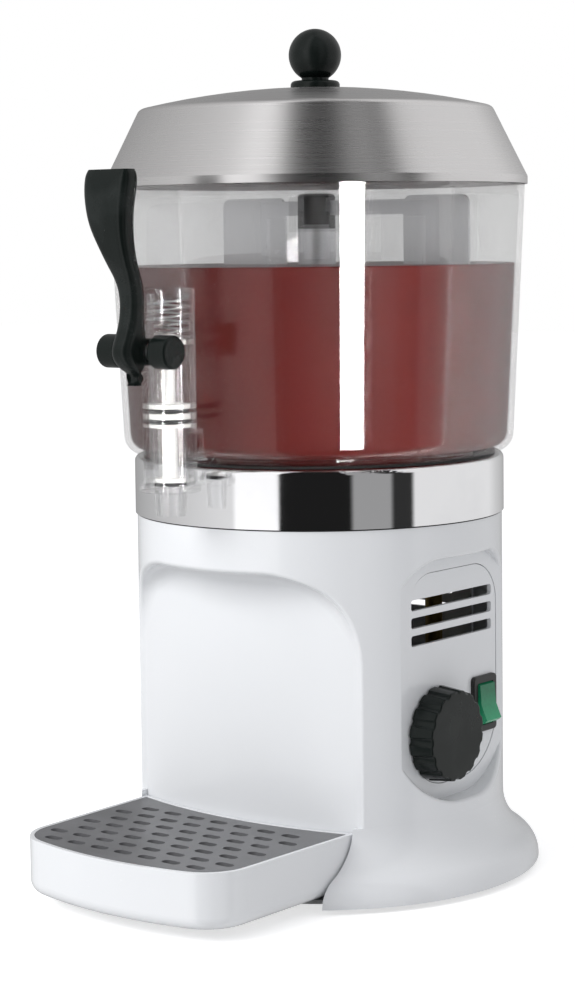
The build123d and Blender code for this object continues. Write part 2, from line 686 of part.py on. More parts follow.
with BuildPart() as drain_cap:
    with BuildSketch(Plane((DRAIN_X, DRAIN_END_Y - 9.0, DRAIN_Z), z_dir=(0, 1, 0))):
        Circle(DRAIN_R + 3.0)
        with PolarLocations(DRAIN_R + 3.4, 12):
            Circle(0.9, mode=Mode.SUBTRACT)
    extrude(amount=12.0)
    with BuildSketch(Plane((DRAIN_X, DRAIN_END_Y - 9.0, DRAIN_Z), z_dir=(0, 1, 0))):
        Circle(DRAIN_R + RUN_CLEARANCE)
    extrude(amount=9.0 + SEAT_GAP, mode=Mode.SUBTRACT)
write(drain_cap, "drain_cap")

# ---- drive ------------------------------------------------------------------------------------
with BuildPart() as gearbox:
    with Locations((0, 0, GEARBOX_Z0)):
        Cylinder(GEARBOX_R, GEARBOX_Z1 - GEARBOX_Z0, align=LOW)
    chamfer(gearbox.edges().group_by(Axis.Z)[0], 2.0)
    with Locations((0, 0, GEARBOX_Z1 - 12.0)):
        Cylinder(SHAFT_R + RUN_CLEARANCE, 12.0, align=LOW, mode=Mode.SUBTRACT)
write(gearbox, "gearbox")

with BuildPart() as motor:
    with Locations((0, 0, MOTOR_Z0)):
        Cylinder(MOTOR_R, GEARBOX_Z0 - MOTOR_Z0, align=LOW)
    fillet(motor.edges().group_by(Axis.Z)[0], 3.0)
    with Locations((0, 0, MOTOR_Z0 - 6.0)):
        Cylinder(9.0, 6.0, align=LOW)
write(motor, "motor")

with BuildPart() as motor_bracket:
    with BuildSketch(Plane.XZ):
        with BuildLine():
            span, top = BRACKET_HALF_W, GEARBOX_Z1 + BRACKET_T
            Polyline((span + BRACKET_FOOT, PLATE_TOP), (span - BRACKET_T, PLATE_TOP),
                     (span - BRACKET_T, top - BRACKET_T), (BRACKET_T - span, top - BRACKET_T),
                     (BRACKET_T - span, PLATE_TOP), (-span - BRACKET_FOOT, PLATE_TOP),
                     (-span - BRACKET_FOOT, PLATE_TOP + BRACKET_T), (-span, PLATE_TOP + BRACKET_T),
                     (-span, top), (span, top), (span, PLATE_TOP + BRACKET_T),
                     (span + BRACKET_FOOT, PLATE_TOP + BRACKET_T), close=True)
        make_face()
    extrude(amount=BRACKET_D / 2, both=True)
    with Locations((0, 0, GEARBOX_Z1)):
        Cylinder(10.0, BRACKET_T, align=LOW, mode=Mode.SUBTRACT)
    with Locations(*BRACKET_HOLES):
        Cylinder(FOOT_SCREW_R, 4 * BRACKET_T, mode=Mode.SUBTRACT)
write(motor_bracket, "motor_bracket")

with BuildPart() as bracket_screws:
    with Locations(*BRACKET_HOLES):
        Cylinder(FOOT_SCREW_R, BRACKET_T, align=LOW)
    with Locations(*[(x, y, z + BRACKET_T) for x, y, z in BRACKET_HOLES]):
        Cylinder(SCREW_HEAD_R, SCREW_HEAD_H, align=LOW)
write(bracket_screws, "bracket_screws")

with BuildPart() as shaft_bush:
    with Locations((0, 0, TANK_FLOOR - 3.0)):
        Cylinder(BUSH_FLANGE_R, 3.0, align=LOW)
    with Locations((0, 0, TANK_FLOOR)):
        Cylinder(TUBE_OUT_R - TANK_T, 18.0, align=LOW)
    with Locations((0, 0, TANK_FLOOR - 3.0)):
        Cylinder(SHAFT_R + RUN_CLEARANCE, 21.0, align=LOW, mode=Mode.SUBTRACT)
write(shaft_bush, "shaft_bush")

with BuildPart() as shaft_seal:
    with Locations((0, 0, TANK_TUBE_TOP - 6.0)):
        Cylinder(TUBE_OUT_R - TANK_T, 6.0, align=LOW)
        Cylinder(SHAFT_R + RUN_CLEARANCE, 6.0, align=LOW, mode=Mode.SUBTRACT)
write(shaft_seal, "shaft_seal")

with BuildPart() as drive_shaft:
    with Locations((0, 0, GEARBOX_Z1 - 12.0)):
        Cylinder(SHAFT_R, SHAFT_TOP - HEX_H - GEARBOX_Z1 + 12.0, align=LOW)
    with BuildSketch(Plane.XY.offset(SHAFT_TOP - HEX_H)):
        RegularPolygon(SHAFT_R, 6)
    extrude(amount=HEX_H)
    chamfer(drive_shaft.edges().group_by(Axis.Z)[-1], 0.8)
write(drive_shaft, "drive_shaft")

with BuildPart() as shaft_collar:
    with Locations((0, 0, GEARBOX_Z1 + BRACKET_T + 2.0)):
        Cylinder(9.0, 12.0, align=LOW)
        Cylinder(SHAFT_R, 12.0, align=LOW, mode=Mode.SUBTRACT)
    with Locations(Location((9.0, 0, GEARBOX_Z1 + BRACKET_T + 8.0), (0, 90, 0))):
        Cylinder(2.0, 4.0, mode=Mode.SUBTRACT)
write(shaft_collar, "shaft_collar")

# ---- electrics --------------------------------------------------------------------------------
with BuildPart() as terminal_block:
    with Locations((TERMINAL_X, TERMINAL_Y, PLATE_TOP)):
        Box(TERMINAL_L, TERMINAL_W, TERMINAL_H, align=LOW)
    with Locations(*[(TERMINAL_X + dx, TERMINAL_Y, PLATE_TOP + TERMINAL_H) for dx in (-11, 0, 11)]):
        Cylinder(2.6, 4.0, align=(Align.CENTER, Align.CENTER, Align.MAX), mode=Mode.SUBTRACT)
write(terminal_block, "terminal_block")

with BuildPart() as inlet_pins:
    with BuildSketch(side_plane(180, REAR_FACE_R - INLET_DEPTH - 6.0, INLET_Z)):
        with Locations((-INLET_X - 7, -2.5), (-INLET_X, 2.5), (-INLET_X + 7, -2.5)):
            Rectangle(1.6, 4.0)
    extrude(amount=INLET_DEPTH)
write(inlet_pins, "inlet_pins")

with BuildPart() as power_inlet:
    with BuildSketch(side_plane(180, REAR_FACE_R - INLET_DEPTH, INLET_Z)):
        with Locations((-INLET_X, 0)):
            Rectangle(INLET_W - 2 * PANEL_GAP, INLET_H - 2 * PANEL_GAP)
    extrude(amount=INLET_DEPTH)
    with BuildSketch(side_plane(180, REAR_FACE_R - 2 * WALL, INLET_Z)):
        with Locations((-INLET_X, 0)):
            RectangleRounded(INLET_W + 6, INLET_H + 6, 2.5)
    extrude(amount=2 * WALL + 2.0)
    add(rear_panel() & side_prism(180, REAR_W, REAR_Z0, REAR_Z1, 1, 40)
        - inlet_hole(INLET_W, INLET_H), mode=Mode.SUBTRACT)
    add(inlet_hole(INLET_W - 5.0, INLET_H - 5.0) & side_prism(180, REAR_W, REAR_Z0, REAR_Z1, 1, 18),
        mode=Mode.SUBTRACT)
    add(inlet_pins.part, mode=Mode.SUBTRACT)
write(power_inlet, "power_inlet")


with BuildPart() as switch_body:
    with BuildSketch(Plane.YZ.offset(PANEL_X - SWITCH_D)):
        with Locations((SWITCH_Y, SWITCH_Z)):
            Rectangle(SWITCH_HOLE_W - 2 * PANEL_GAP, SWITCH_HOLE_H - 2 * PANEL_GAP)
    extrude(amount=SWITCH_D)
    with BuildSketch(Plane.YZ.offset(PANEL_X)):
        with Locations((SWITCH_Y, SWITCH_Z)):
            RectangleRounded(SWITCH_W, SWITCH_H, 2.5)
    extrude(amount=BEZEL_T)
    fillet(switch_body.faces().sort_by(Axis.X)[-1].edges(), 0.8)
    with BuildSketch(Plane.YZ.offset(PANEL_X + BEZEL_T)):
        with Locations((SWITCH_Y, SWITCH_Z)):
            Rectangle(ROCKER_W + 2 * PLAY, 2 * (ROCKER_R + PLAY))
    extrude(amount=-ROCKER_POCKET, mode=Mode.SUBTRACT)
write(switch_body, "switch_body")

with BuildPart() as rocker:
    with BuildSketch(Plane((PANEL_X, SWITCH_Y, SWITCH_Z), x_dir=(0, 0, 1), z_dir=(0, 1, 0))):
        with BuildLine():
            raised, low, under = [sqrt(ROCKER_R ** 2 - h ** 2) for h in (ROCKER_RISE, ROCKER_LOW, ROCKER_UNDER)]
            ThreePointArc((-raised, ROCKER_RISE), (-ROCKER_R, 0), (-under, -ROCKER_UNDER))
            Line((-under, -ROCKER_UNDER), (under, -ROCKER_UNDER))
            ThreePointArc((under, -ROCKER_UNDER), (ROCKER_R, 0), (low, ROCKER_LOW))
            Polyline((low, ROCKER_LOW), (0, ROCKER_DIP), (-raised, ROCKER_RISE))
        make_face()
    extrude(amount=ROCKER_W / 2, both=True)
write(rocker, "rocker")

# ---- temperature dial -------------------------------------------------------------------------
with BuildPart() as control_dial:
    with BuildSketch(Plane.YZ.offset(DIAL_BASE_X)):
        with Locations((DIAL_Y, DIAL_Z)):
            Circle(DIAL_R)
            with PolarLocations(DIAL_R + DIAL_FLUTE_R * 0.55, DIAL_FLUTES):
                Circle(DIAL_FLUTE_R, mode=Mode.SUBTRACT)
    extrude(amount=DIAL_H, taper=6)
    fillet(control_dial.faces().sort_by(Axis.X)[-1].edges(), 1.0)
    with BuildSketch(Plane.YZ.offset(DIAL_BASE_X)):
        with Locations((DIAL_Y, DIAL_Z)):
            Circle(SPINDLE_R)
    extrude(amount=SPINDLE_SOCKET, mode=Mode.SUBTRACT)
write(control_dial, "control_dial")

with BuildPart() as dial_spindle:
    with BuildSketch(Plane.YZ.offset(THERMOSTAT_X - SPINDLE_IN)):
        with Locations((DIAL_Y, DIAL_Z)):
            Circle(SPINDLE_R)
    extrude(amount=SPINDLE_IN + DIAL_BASE_X - THERMOSTAT_X + SPINDLE_SOCKET)
write(dial_spindle, "dial_spindle")

# ---- bowl -------------------------------------------------------------------------------------
CHIMNEY_IN_R = TUBE_OUT_R + PLAY
CHIMNEY_OUT_R = CHIMNEY_IN_R + CHIMNEY_T


def bowl_solid(inset):
    """The bowl's outer form as a filled solid, drawn in by its wall: upper bowl on a narrower well."""
    well_r = WELL_R - inset
    with BuildPart() as form:
        with BuildSketch(Plane.XZ):
            with BuildLine():
                Polyline((0, WELL_BOTTOM + inset), (well_r, WELL_BOTTOM + inset), (well_r, BOWL_BOTTOM + inset),
                         (BOWL_R_LOW - inset, BOWL_BOTTOM + inset), (BOWL_R_TOP - inset, BOWL_TOP),
                         (0, BOWL_TOP), close=True)
            make_face()
        revolve(axis=Axis.Z)
        rings = form.edges().filter_by(GeomType.CIRCLE)
        corner = rings.filter_by(lambda e: abs(e.radius - BOWL_R_LOW + inset) < 0.01)
        fillet(corner, BOWL_CORNER_R - inset)
        well = form.edges().filter_by(GeomType.CIRCLE).filter_by(
            lambda e: abs(e.radius - well_r) < 0.01 and e.center().Z < BOWL_BOTTOM - BOWL_T)
        fillet(well, WELL_CORNER_R - inset)
    return form.part


with BuildPart() as bowl:
    add(bowl_solid(0))
    add(bowl_solid(BOWL_T), mode=Mode.SUBTRACT)
    with BuildPart(mode=Mode.PRIVATE) as rim:
        with Locations((0, 0, BOWL_TOP - RIM_H)):
            Cylinder(BOWL_R_TOP, RIM_H, align=LOW)
            Cylinder(BOWL_R_TOP - BOWL_T - RIM_T, RIM_H, align=LOW, mode=Mode.SUBTRACT)
        add(bowl_solid(0), mode=Mode.INTERSECT)
    add(rim.part)
    with Locations((0, 0, WELL_BOTTOM)):
        Cylinder(CHIMNEY_OUT_R, CHIMNEY_TOP - WELL_BOTTOM, align=LOW)
        Cylinder(CHIMNEY_IN_R, CHIMNEY_TOP - WELL_BOTTOM, align=LOW, mode=Mode.SUBTRACT)
    with BuildSketch(Plane((0, -WELL_R, PORT_Z), z_dir=(0, -1, 0))):
        Circle(PORT_R)
    extrude(amount=BODY_R, mode=Mode.SUBTRACT)
write(bowl, "bowl")

# ---- tap --------------------------------------------------------------------------------------
with BuildPart() as tap_tube:
    with Locations((0, TAP_Y, TAP_FLOOR - TAP_FLOOR_T)):
        Cylinder(TAP_R, TAP_TOP - TAP_FLOOR + TAP_FLOOR_T, align=LOW)
        Cylinder(TAP_FLANGE_R, TAP_FLANGE_H, align=LOW)
    flange_rims = tap_tube.edges().filter_by(GeomType.CIRCLE).filter_by(
        lambda e: abs(e.radius - TAP_FLANGE_R) < 0.01)
    fillet(flange_rims, 1.0)
    with BuildSketch(Plane.XY.offset(NOZZLE_TIP)):
        with Locations((0, TAP_Y)):
            Circle(NOZZLE_R - 1.0)
    with BuildSketch(Plane.XY.offset(TAP_FLOOR - TAP_FLOOR_T)):
        with Locations((0, TAP_Y)):
            Circle(NOZZLE_R)
    loft()
    with Locations((0, TAP_Y, PORT_Z)):
        Box(2 * PORT_R + 6.0, -TAP_Y - BOWL_R_LOW + BOWL_CORNER_R, 2 * PORT_R + 6.0,
            align=(Align.CENTER, Align.MIN, Align.CENTER))
    for side in (1, -1):
        with BuildSketch(Plane.YZ.offset(side * (HUB_HALF_W + PLAY))):
            with BuildLine():
                Polyline((TAP_Y, PIVOT_Z - LUG_FOOT / 2), (TAP_Y, PIVOT_Z + LUG_FOOT / 2),
                         (PIVOT_Y, PIVOT_Z + LUG_R), (PIVOT_Y, PIVOT_Z - LUG_R), close=True)
            make_face()
            with Locations((PIVOT_Y, PIVOT_Z)):
                Circle(LUG_R)
        extrude(amount=side * LUG_T)
    add(bowl_solid(0), mode=Mode.SUBTRACT)
    with Locations((0, TAP_Y, TAP_FLOOR)):
        Cylinder(TAP_BORE_R, TAP_TOP - TAP_FLOOR, align=LOW, mode=Mode.SUBTRACT)
    with Locations((0, TAP_Y, NOZZLE_TIP)):
        Cylinder(OUTLET_R, TAP_FLOOR - NOZZLE_TIP, align=LOW, mode=Mode.SUBTRACT)
    with BuildSketch(Plane((0, TAP_Y, PORT_Z), z_dir=(0, 1, 0))):
        Circle(PORT_R)
    extrude(amount=-TAP_Y - WELL_R, mode=Mode.SUBTRACT)
    with Locations((0, TAP_Y, PIVOT_Z - FORK_ROD_R - 2 * PLAY)):
        Box(2 * (FORK_IN_X + FORK_T + PLAY), 2 * TAP_R, WINDOW_H, align=(Align.CENTER, Align.MAX, Align.MIN),
            mode=Mode.SUBTRACT)
    with BuildSketch(Plane.YZ):
        with Locations((PIVOT_Y, PIVOT_Z)):
            Circle(PIN_R + RUN_CLEARANCE)
    extrude(amount=2 * HUB_R, both=True, mode=Mode.SUBTRACT)
write(tap_tube, "tap_tube")

with BuildPart() as tap_cap:
    with Locations((0, TAP_Y, TAP_TOP)):
        Cylinder(TAP_R, CAP_T, align=LOW)
    fillet(tap_cap.edges().group_by(Axis.Z)[-1], 1.2)
    add(bowl_solid(0), mode=Mode.SUBTRACT)
    with Locations((0, TAP_Y, TAP_TOP - SPIGOT_H)):
        Cylinder(TAP_BORE_R - RUN_CLEARANCE, SPIGOT_H, align=LOW)
write(tap_cap, "tap_cap")

COLLAR_Z = PIVOT_Z + FORK_ROD_R + PLAY
HEAD_Z = PORT_Z + PORT_R + 4.5
with BuildPart() as piston:
    with BuildSketch(Plane.XZ):
        with BuildLine():
            groove_in = TAP_BORE_R - RUN_CLEARANCE - 2 * RING_WIRE_R
            head_r = TAP_BORE_R - 3 * RUN_CLEARANCE
            z = HEAD_Z
            points = [(0, SEAT_Z), (FOOT_DISC_R, SEAT_Z), (FOOT_DISC_R, SEAT_Z + 2.0),
                      (SPINDLE_NECK_R, SEAT_Z + 2.0), (SPINDLE_NECK_R, HEAD_Z), (head_r, HEAD_Z)]
            for groove in RING_GROOVES:
                points += [(head_r, z + groove), (groove_in, z + groove),
                           (groove_in, z + groove + 2.4 * RING_WIRE_R), (head_r, z + groove + 2.4 * RING_WIRE_R)]
            points += [(head_r, z + HEAD_H), (ROD_R, z + HEAD_H), (ROD_R, COLLAR_Z), (COLLAR_R, COLLAR_Z),
                       (COLLAR_R, COLLAR_Z + COLLAR_T), (ROD_R, COLLAR_Z + COLLAR_T),
                       (ROD_R, COLLAR_Z + COLLAR_T + 3.0), (0, COLLAR_Z + COLLAR_T + 3.0)]
            Polyline(*points, close=True)
        make_face()
    revolve(axis=Axis.Z)
piston.part = piston.part.moved(Location((0, TAP_Y, 0)))
write(piston, "piston")

with BuildPart() as piston_rings:
    with BuildSketch(Plane.XZ):
        with Locations(*[(TAP_BORE_R - RUN_CLEARANCE - RING_WIRE_R, HEAD_Z + groove + 1.2 * RING_WIRE_R)
                         for groove in RING_GROOVES]):
            Circle(RING_WIRE_R)
    revolve(axis=Axis.Z)
piston_rings.part = piston_rings.part.moved(Location((0, TAP_Y, 0)))
write(piston_rings, "piston_rings")

with BuildPart() as seat_washer:
    with Locations((0, TAP_Y, TAP_FLOOR + SEAT_GAP)):
        Cylinder(FOOT_DISC_R + 0.5, SEAT_Z - TAP_FLOOR - SEAT_GAP, align=LOW)
write(seat_washer, "seat_washer")

SPRING_Z0 = COLLAR_Z + COLLAR_T + SPRING_WIRE_R
SPRING_Z1 = TAP_TOP - SPIGOT_H - SPRING_WIRE_R
spring_rise = (SPRING_Z1 - SPRING_Z0) / SPRING_TURNS
steps = 4 * SPRING_TURNS
angles = [2 * pi * SPRING_TURNS * i / steps for i in range(steps + 1)]
spring_points = [Vector(SPRING_R * cos(a), TAP_Y + SPRING_R * sin(a), SPRING_Z0 + spring_rise * a / (2 * pi))
                 for a in angles]
spring_tangents = [Vector(-SPRING_R * sin(a), SPRING_R * cos(a), spring_rise / (2 * pi)).normalized()
                   for a in angles]
with BuildPart() as return_spring:
    with BuildLine() as coil:
        for arc in biarc_path(spring_points, spring_tangents):
            add(arc)
    with BuildSketch(Plane(spring_points[0], z_dir=spring_tangents[0])):
        Circle(SPRING_WIRE_R)
    sweep(path=coil.wires()[0])
write(return_spring, "return_spring")

turn_points = [(SPRING_R * cos(2 * pi * i / 48), SPRING_R * sin(2 * pi * i / 48), spring_rise * i / 48)
               for i in range(48 * SPRING_TURNS + 1)]
spring_gap = min(dist(p, q) for i, p in enumerate(turn_points) for q in turn_points[i + 36:]) - 2 * SPRING_WIRE_R
print(f"return_spring least gap to itself {spring_gap:.2f} mm")

# ---- lever ------------------------------------------------------------------------------------
with BuildPart() as lever:
    for z, ahead, width, depth in HANDLE_SECTIONS:
        with BuildSketch(Plane.XY.offset(z)):
            with Locations((0, PIVOT_Y - ahead)):
                RectangleRounded(width, depth, 0.4 * min(width, depth))
    loft()
    with BuildSketch(Plane.YZ):
        with Locations((PIVOT_Y, PIVOT_Z)):
            Circle(HUB_R)
    extrude(amount=HUB_HALF_W, both=True)
    for side in (1, -1):
        with BuildSketch(Plane.YZ.offset(side * FORK_IN_X)):
            with Locations(((PIVOT_Y + TAP_Y) / 2, PIVOT_Z)):
                Rectangle(TAP_Y - PIVOT_Y, 1.4 * FORK_ROD_R)
            with Locations((TAP_Y, PIVOT_Z)):
                Circle(FORK_ROD_R)
        extrude(amount=side * FORK_T)
    with BuildSketch(Plane.YZ):
        with Locations((PIVOT_Y, PIVOT_Z)):
            Circle(PIN_R)
    extrude(amount=2 * HUB_R, both=True, mode=Mode.SUBTRACT)
write(lever, "lever")

CAP_X = HUB_HALF_W + LUG_T + 2 * PLAY
with BuildPart() as lever_pin:
    with BuildSketch(Plane.YZ):
        with Locations((PIVOT_Y, PIVOT_Z)):
            Circle(PIN_R)
    extrude(amount=CAP_X + CAP_L - 3.0, both=True)
write(lever_pin, "lever_pin")

with BuildPart() as lever_caps:
    for side in (1, -1):
        with BuildSketch(Plane.YZ.offset(side * CAP_X)):
            with Locations((PIVOT_Y, PIVOT_Z)):
                Circle(CAP_R)
        extrude(amount=side * CAP_L)
    fillet(lever_caps.edges().filter_by(GeomType.CIRCLE), 1.5)
    with BuildSketch(Plane.YZ):
        with Locations((PIVOT_Y, PIVOT_Z)):
            Circle(PIN_R)
    extrude(amount=CAP_X + CAP_L - 3.0, both=True, mode=Mode.SUBTRACT)
write(lever_caps, "lever_caps")

# ---- stirrer ----------------------------------------------------------------------------------
STIR_IN_R = CHIMNEY_OUT_R + PLAY
STIR_OUT_R = STIR_IN_R + STIR_TUBE_T
DRIVE_CAP_Z = CHIMNEY_TOP + 4 * PLAY
with BuildPart() as stirrer_tube:
    with Locations((0, 0, STIR_TUBE_Z0)):
        Cylinder(STIR_OUT_R, DRIVE_CAP_Z - STIR_TUBE_Z0, align=LOW)
        Cylinder(STIR_IN_R, DRIVE_CAP_Z - STIR_TUBE_Z0, align=LOW, mode=Mode.SUBTRACT)
write(stirrer_tube, "stirrer_tube")

with BuildPart() as drive_cap:
    with Locations((0, 0, DRIVE_CAP_Z)):
        Cylinder(STIR_OUT_R, STIR_TOP - DRIVE_CAP_Z, align=LOW)
    fillet(drive_cap.edges().group_by(Axis.Z)[-1], 2.5)
    with BuildSketch(Plane.XY.offset(DRIVE_CAP_Z)):
        RegularPolygon(SHAFT_R + PLAY, 6)
    extrude(amount=SHAFT_TOP + PLAY - DRIVE_CAP_Z, mode=Mode.SUBTRACT)
    with Locations((0, 0, DRIVE_CAP_Z)):
        Cylinder(SHAFT_R + PLAY, SHAFT_TOP - HEX_H + PLAY - DRIVE_CAP_Z, align=LOW, mode=Mode.SUBTRACT)
write(drive_cap, "drive_cap")


def paddle(near, far, z0, z1, side):
    """A flat vertical blade with three arms that reach in to the stirrer tube."""
    arms = [(z0 + 6.0), (z0 + z1) / 2, (z1 - 6.0)]
    with BuildPart() as blade:
        with BuildSketch(Plane.XZ):
            with Locations((side * (near + far) / 2, (z0 + z1) / 2)):
                RectangleRounded(far - near, z1 - z0, 5.0)
            with Locations(*[(side * (STIR_OUT_R + near + 6.0) / 2, z) for z in arms]):
                Rectangle(near + 6.0 - STIR_OUT_R, 8.0)
        extrude(amount=PADDLE_T / 2, both=True)
    return blade


inner_paddle = paddle(*INNER_PADDLE, -1)
write(inner_paddle, "inner_paddle")
outer_paddle = paddle(*OUTER_PADDLE, 1)
write(outer_paddle, "outer_paddle")

# ---- lid --------------------------------------------------------------------------------------
LID_Z = BOWL_TOP + SEAT_GAP
with BuildPart() as lid:
    with BuildSketch(Plane.XZ):
        with BuildLine():
            slope = Vector(LID_SHOULDER_R - LID_R, LID_SHOULDER_Z - LID_Z - LID_T, 0).normalized()
            inward = Vector(-slope.Y, slope.X, 0) * LID_T
            shoulder_in = (LID_SHOULDER_R + inward.X, LID_SHOULDER_Z + inward.Y - 0.2)
            Polyline((LID_R - LID_T, LID_Z - LID_LIP_H), (LID_R, LID_Z - LID_LIP_H), (LID_R, LID_Z + LID_T),
                     (LID_SHOULDER_R, LID_SHOULDER_Z))
            dome = dome_arc(LID_SHOULDER_R, LID_SHOULDER_Z, LID_TOP)
            Line((0, LID_TOP), (0, LID_TOP - LID_T))
            dome_arc(*shoulder_in, LID_TOP - LID_T)
            Polyline(shoulder_in, (LID_R - 1.6 * LID_T, LID_Z + LID_T), (LID_R - 4 * LID_T, LID_Z + LID_T),
                     (LID_R - 4 * LID_T, LID_Z), (LID_R - LID_T, LID_Z), (LID_R - LID_T, LID_Z - LID_LIP_H))
        make_face()
    revolve(axis=Axis.Z)
    rings = lid.edges().filter_by(GeomType.CIRCLE)
    fillet(rings.filter_by(lambda e: abs(e.radius - LID_SHOULDER_R) < 0.01), 4.0)
    with Locations((0, 0, LID_TOP)):
        Cylinder(KNOB_SCREW_R + PLAY, 4 * LID_T, mode=Mode.SUBTRACT)
write(lid, "lid")

with BuildPart() as lid_knob:
    with Locations((0, 0, LID_TOP)):
        Cylinder(KNOB_FOOT_R, KNOB_FOOT_H, align=LOW)
    fillet(lid_knob.edges().group_by(Axis.Z)[-1], KNOB_FOOT_H * 0.6)
    with Locations((0, 0, LID_TOP)):
        Cylinder(KNOB_NECK_R, KNOB_Z - LID_TOP, align=LOW)
    with Locations((0, 0, KNOB_Z)):
        Sphere(KNOB_R)
    with Locations((0, 0, LID_TOP)):
        Cylinder(KNOB_SCREW_R, KNOB_Z - LID_TOP, align=LOW, mode=Mode.SUBTRACT)
write(lid_knob, "lid_knob")

with BuildPart() as knob_screw:
    with Locations((0, 0, LID_TOP - LID_T - SEAT_GAP - SCREW_HEAD_H)):
        Cylinder(2 * KNOB_SCREW_R, SCREW_HEAD_H, align=LOW)
        Cylinder(KNOB_SCREW_R, KNOB_Z - LID_TOP + LID_T, align=LOW)
write(knob_screw, "knob_screw")

# ---- drip tray --------------------------------------------------------------------------------
with BuildPart() as drip_tray:
    with BuildSketch(Plane.XY.offset(PLATE_TOP)):
        add(tray_plan(0, SLIDE_GAP))
    extrude(amount=TRAY_TOP - PLATE_TOP)
    fillet(drip_tray.edges().group_by(Axis.Z)[0], TRAY_EDGE_R)
    with BuildSketch(Plane.XY.offset(PLATE_TOP + TRAY_FLOOR)):
        add(tray_plan(TRAY_WALL, SLIDE_GAP + TRAY_WALL))
    extrude(amount=TRAY_TOP, mode=Mode.SUBTRACT)
    with BuildPart(mode=Mode.PRIVATE) as ledge:
        with BuildSketch(Plane.XY.offset(TRAY_TOP - GRID_T - 2.0 - SEAT_GAP)):
            add(tray_plan(TRAY_WALL, SLIDE_GAP + TRAY_WALL))
            add(tray_plan(TRAY_WALL + LEDGE_W, SLIDE_GAP + TRAY_WALL + LEDGE_W), mode=Mode.SUBTRACT)
        extrude(amount=2.0)
    add(ledge.part)
write(drip_tray, "drip_tray")

with BuildPart() as drip_grid:
    with BuildSketch(Plane.XY.offset(TRAY_TOP - GRID_T)):
        add(tray_plan(TRAY_WALL + PLAY, SLIDE_GAP + TRAY_WALL + PLAY))
    extrude(amount=GRID_T)
    with BuildSketch(Plane.XY.offset(TRAY_TOP - GRID_T)) as slots:
        for row in range(GRID_ROWS):
            y = -RECESS_DEPTH_Y - GRID_MARGIN - GRID_SLOT_W - row * GRID_PITCH_Y
            count = GRID_COUNTS[row]
            with Locations(*[((i - (count - 1) / 2) * GRID_PITCH_X, y) for i in range(count)]):
                SlotOverall(GRID_SLOT_L, GRID_SLOT_W)
    extrude(amount=GRID_T, mode=Mode.SUBTRACT)
write(drip_grid, "drip_grid")
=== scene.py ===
import json
from math import cos, pi, radians, sin

import bpy
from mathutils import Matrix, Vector


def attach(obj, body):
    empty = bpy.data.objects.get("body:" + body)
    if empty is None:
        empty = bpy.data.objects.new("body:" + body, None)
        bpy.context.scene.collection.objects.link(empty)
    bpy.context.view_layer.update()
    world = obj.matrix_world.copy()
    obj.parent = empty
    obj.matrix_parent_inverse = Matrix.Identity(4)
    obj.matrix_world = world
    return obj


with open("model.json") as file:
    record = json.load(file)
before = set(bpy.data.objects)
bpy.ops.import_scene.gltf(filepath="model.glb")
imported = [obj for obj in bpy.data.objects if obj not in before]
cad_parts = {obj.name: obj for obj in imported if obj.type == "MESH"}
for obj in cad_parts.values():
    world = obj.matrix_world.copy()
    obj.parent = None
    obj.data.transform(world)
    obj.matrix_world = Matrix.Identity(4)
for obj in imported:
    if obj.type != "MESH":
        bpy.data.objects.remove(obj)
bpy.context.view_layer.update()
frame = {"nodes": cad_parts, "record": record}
nodes = frame["nodes"]
print("frame loaded with", len(nodes), "nodes")


# ---- camera: level with the bowl, in front and to the right of the tap
cameraSetup = {"azimuth": 38.0, "distance": 1.312, "height": 0.350, "pitch": 4.5, "turn": 0.76, "roll": -0.65,
               "lens": 84.8, "shiftY": -0.079}


def placeCamera(setup):
    azimuth = radians(setup["azimuth"])
    place = (setup["distance"] * sin(azimuth), -setup["distance"] * cos(azimuth), setup["height"])
    bpy.ops.object.camera_add(location=place,
                              rotation=(radians(90 - setup["pitch"]), 0, azimuth + radians(setup["turn"])))
    camera = bpy.context.object
    camera.name = "studioCamera"
    camera.rotation_euler.rotate_axis("Z", radians(setup["roll"]))
    camera.data.lens = setup["lens"]
    camera.data.shift_y = setup["shiftY"]
    bpy.context.scene.camera = camera


placeCamera(cameraSetup)
print("camera placed")


# ---- shader building: a wire does sums, a finish makes every other node
objectSocket = 3            # of a texture coordinate node
generatedSocket = 0
mixSockets = (0, 6, 7)      # factor and the two colours of a mix node


class Wire:
    def __init__(self, finish, socket):
        self.finish, self.socket = finish, socket

    def sum(self, operation, *values):
        return self.finish.node("ShaderNodeMath", {"operation": operation}, dict(enumerate(values)))

    def __add__(self, other):
        return self.sum("ADD", self, other)

    def __sub__(self, other):
        return self.sum("SUBTRACT", self, other)

    def __rsub__(self, other):
        return self.sum("SUBTRACT", other, self)

    def __mul__(self, other):
        return self.sum("MULTIPLY", self, other)

    def __truediv__(self, other):
        return self.sum("DIVIDE", self, other)

    __radd__, __rmul__ = __add__, __mul__


